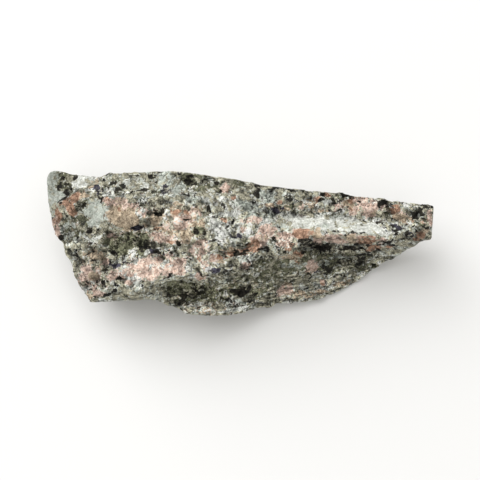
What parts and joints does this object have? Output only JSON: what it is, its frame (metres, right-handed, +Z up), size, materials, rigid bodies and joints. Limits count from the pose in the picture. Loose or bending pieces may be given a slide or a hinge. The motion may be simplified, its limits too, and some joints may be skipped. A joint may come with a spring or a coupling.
{
  "type": "rock.granodiorite_core_sample",
  "caption": "Piece of granodiorite drill core, broken lengthwise, with a rough crystalline face, one square end and a smooth drilled back",
  "frame": {"origin": "centre of the piece's outline on the ground it rests on, under the worn flat spot", "axes": "+X runs along the core's axis to its square end, +Y is towards the straight upper edge of the broken face, +Z is up"},
  "size_m": [0.1314, 0.0464, 0.0279],
  "materials": {
    "granodiorite": "broken, coarse crystals"
  },
  "bodies": {
    "root": {"granodiorite_core": "granodiorite"}
  },
  "joints": []
}
